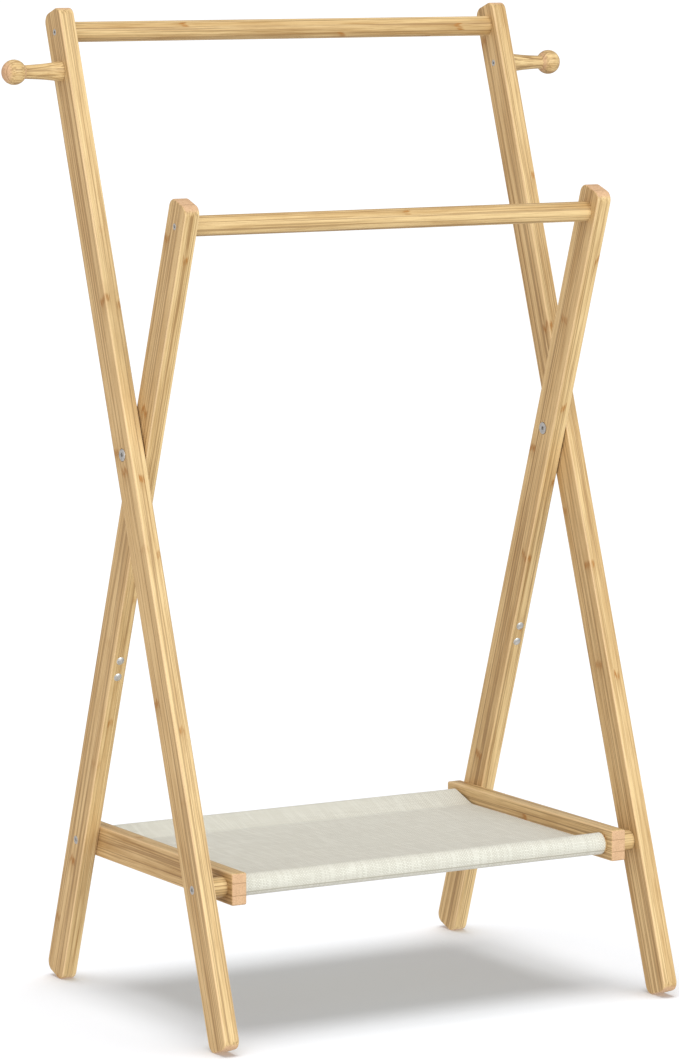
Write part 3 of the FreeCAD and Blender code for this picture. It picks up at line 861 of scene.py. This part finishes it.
class RACK_OT_bars(bpy.types.Operator):
    """Finish the four legs and the shelf's two side rails in laminated bamboo"""

    bl_idname = "rack.bars"
    bl_label = "Legs and side rails"

    def execute(self, context):
        look = context.scene.rack_bamboo
        group = bpy.data.node_groups.get("bamboo_pattern") or bamboo_group(look)
        angle, hub = lean(), pivot()
        strip = (look.strip_thin, look.strip_wide, UNCUT)
        seed = FIRST_BAR_SEED
        for side in SIDES:
            for leg, sign in (("tall_leg", 1.0), ("short_leg", -1.0)):
                node = f"{leg}_{side}"
                box_half = half_size(node)
                centre = (middle(node)[0], hub[1], hub[2])
                axis = (0.0, sign * math.sin(angle), math.cos(angle))
                half = (box_half[0], look.leg_depth / 2.0, UNCUT)
                turn = (-sign * angle, 0.0, 0.0)
                made = bamboo_material(f"bamboo_{node}", group, centre, turn, axis, strip, half, seed)
                finish(node, made)
                seed += 1.0
            node = f"shelf_side_rail_{side}"
            box_half = half_size(node)
            made = bamboo_material(f"bamboo_{node}", group, middle(node), (math.pi / 2.0, 0.0, 0.0),
                                   (0.0, 1.0, 0.0), strip, (box_half[0], box_half[2], UNCUT), seed)
            finish(node, made)
            seed += 1.0
        return {"FINISHED"}


class RACK_OT_rods(bpy.types.Operator):
    """Finish the two rails and the two shelf rods in turned bamboo"""

    bl_idname = "rack.rods"
    bl_label = "Rails and shelf rods"

    def execute(self, context):
        look = context.scene.rack_bamboo
        group = bpy.data.node_groups.get("bamboo_pattern") or bamboo_group(look)
        strip = (look.strip_thin * 1.25, look.strip_wide * 0.9, UNCUT)
        rods = ("upper_rail", "lower_rail", "shelf_front_rod", "shelf_rear_rod")
        for number, node in enumerate(rods):
            made = bamboo_material(f"bamboo_{node}", group, middle(node), (0.0, math.pi / 2.0, 0.0),
                                   (1.0, 0.0, 0.0), strip, NO_EDGES, FIRST_ROD_SEED + number)
            finish(node, made)
        return {"FINISHED"}


class RACK_OT_pegs(bpy.types.Operator):
    """Turn the two ball-ended pegs on the tall legs"""

    bl_idname = "rack.pegs"
    bl_label = "Pegs"

    def execute(self, context):
        look = context.scene.rack_bamboo
        sizes = context.scene.rack_peg
        group = bpy.data.node_groups.get("bamboo_pattern") or bamboo_group(look)
        strip = (look.strip_thin * 1.1, look.strip_wide, UNCUT)
        for number, (side, toward) in enumerate(zip(SIDES, (-1.0, 1.0))):
            node = f"peg_{side}"
            low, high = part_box(node)
            leg_face = high[0] if toward < 0 else low[0]
            made = peg_surface(f"turned_peg_{side}", leg_face, middle(node), toward, sizes)
            made.data.materials.append(bamboo_material(
                f"bamboo_{node}", group, middle(node), (0.0, math.pi / 2.0, 0.0),
                (1.0, 0.0, 0.0), strip, NO_EDGES, FIRST_PEG_SEED + number))
            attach(made, "tall_frame")
            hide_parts(node)
        return {"FINISHED"}


class RACK_OT_fasteners(bpy.types.Operator):
    """Finish the screws, bolts, sleeves, washers, studs and inserts"""

    bl_idname = "rack.fasteners"
    bl_label = "Fasteners"

    def execute(self, context):
        look = context.scene.rack_metal
        steel = metal_material("plated_steel", look.steel, look, STEEL_SCRATCHES)
        brass = metal_material("turned_brass", look.brass, look, BRASS_SCRATCHES)
        for names, made in ((STEEL_NODES, steel), (BRASS_NODES, brass)):
            for name in names:
                for side in SIDES:
                    finish(f"{name}_{side}", made)
        return {"FINISHED"}


class RACK_OT_canvas(bpy.types.Operator):
    """Stretch the cloth shelf over its two rods and sew it"""

    bl_idname = "rack.canvas"
    bl_label = "Cloth shelf"

    def execute(self, context):
        sizes = context.scene.rack_canvas
        stitch = context.scene.rack_stitch
        cloth, cut_length = cloth_surface("canvas_shelf", sizes)
        cloth.data.materials.append(canvas_material("canvas", sizes, cut_length))
        sewing = stitch_surface("canvas_stitches", sizes, stitch)
        sewing.data.materials.append(thread_material("sewing_thread", stitch))
        for piece in (cloth, sewing):
            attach(piece, "shelf")
        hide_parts("shelf_fabric")
        return {"FINISHED"}


class RACK_OT_stage(bpy.types.Operator):
    """Lay the pale floor and set the soft light and the camera"""

    bl_idname = "rack.stage"
    bl_label = "Floor, light and camera"

    def execute(self, context):
        look = context.scene.rack_stage
        half = look.floor_size / 2.0
        corners = np.array([[-half, -half, 0.0], [half, -half, 0.0],
                            [half, half, 0.0], [-half, half, 0.0]])
        floor = new_mesh("studio_floor", corners, [np.array([[0, 1, 2, 3]])], smooth=False)
        floor.data.materials.append(floor_material("floor_paper", look))
        floor.visible_diffuse = False
        floor.visible_glossy = False
        floor.visible_shadow = False

        world = bpy.data.worlds.new("studio_room")
        world.use_nodes = True
        background = world.node_tree.nodes["Background"]
        background.inputs["Color"].default_value = (1.0, 1.0, 1.0, 1.0)
        background.inputs["Strength"].default_value = look.room
        context.scene.world = world
        floor_only = bpy.data.collections.new("floor_only")
        floor_only.objects.link(floor)
        rack_only = bpy.data.collections.new("rack_only")
        rack_only.objects.link(floor)
        rack_only.collection_objects[0].light_linking.link_state = "EXCLUDE"
        # Each light's name, strength, colour, spread, tilt and turn in degrees, and what it lights.
        for name, energy, tint, spread, tilt, turn, lit in (
                ("front_light", look.front, (0.94, 1.0, 1.0), 44.0, 69.0, 4.0, rack_only),
                ("side_light", look.side, (1.0, 0.86, 0.80), 90.0, 78.0, -82.0, rack_only),
                ("top_light", look.top, (1.0, 1.0, 1.0), 26.0, 0.0, 0.0, rack_only),
                ("bounce_light", look.bounce, (1.0, 0.98, 0.95), 120.0, 180.0, 0.0, rack_only),
                ("floor_light", look.floor_light, (1.0, 1.0, 1.0), 42.0, 0.0, 0.0, floor_only)):
            light = bpy.data.lights.new(name, "SUN")
            light.energy = energy
            light.angle = math.radians(spread)
            light.color = tint
            lamp = bpy.data.objects.new(name, light)
            lamp.rotation_euler = (math.radians(tilt), 0.0, math.radians(turn))
            lamp.light_linking.receiver_collection = lit
            context.scene.collection.objects.link(lamp)

        lens = bpy.data.cameras.new("camera")
        lens.lens = look.camera_lens
        lens.sensor_width = 36.0
        lens.clip_end = 2000.0
        camera = bpy.data.objects.new("camera", lens)
        camera.location = look.camera_place
        camera.rotation_euler = (math.pi / 2.0 + look.camera_tilt, 0.0, look.camera_turn)
        context.scene.collection.objects.link(camera)
        context.scene.camera = camera
        context.scene.view_settings.view_transform = "Standard"
        return {"FINISHED"}


class RACK_PT_panel(bpy.types.Panel):
    """Lists the rack's operators, with the sizes and colours that each one uses"""

    bl_label = "Folding garment rack"
    bl_idname = "RACK_PT_panel"
    bl_space_type = "VIEW_3D"
    bl_region_type = "UI"
    bl_category = "Rack"

    def draw(self, context):
        for operator in OPERATORS:
            self.layout.operator(operator.bl_idname)
        for name in GROUPS:
            group = getattr(context.scene, name)
            box = self.layout.box()
            box.label(text=name.replace("_", " ").capitalize())
            for field in group.__annotations__:
                box.prop(group, field)


GROUPS = {
    "rack_bamboo": RackBamboo,
    "rack_metal": RackMetal,
    "rack_peg": RackPeg,
    "rack_canvas": RackCanvas,
    "rack_stitch": RackStitch,
    "rack_stage": RackStage,
}
OPERATORS = (RACK_OT_bars, RACK_OT_rods, RACK_OT_pegs, RACK_OT_fasteners, RACK_OT_canvas,
             RACK_OT_stage)


def register():
    """Registers the classes and hangs the sizes and colours on the scene."""
    for group in GROUPS.values():
        bpy.utils.register_class(group)
    for name, group in GROUPS.items():
        setattr(bpy.types.Scene, name, PointerProperty(type=group))
    for operator in OPERATORS:
        bpy.utils.register_class(operator)
    bpy.utils.register_class(RACK_PT_panel)


def unregister():
    """Takes back all that register did, in reverse."""
    bpy.utils.unregister_class(RACK_PT_panel)
    for operator in reversed(OPERATORS):
        bpy.utils.unregister_class(operator)
    for name in GROUPS:
        delattr(bpy.types.Scene, name)
    for group in reversed(list(GROUPS.values())):
        bpy.utils.unregister_class(group)


def main():
    """Builds the whole rack and its stage."""
    register()
    bpy.ops.rack.bars()
    bpy.ops.rack.rods()
    bpy.ops.rack.pegs()
    bpy.ops.rack.fasteners()
    bpy.ops.rack.canvas()
    bpy.ops.rack.stage()


if __name__ == "__main__":
    main()
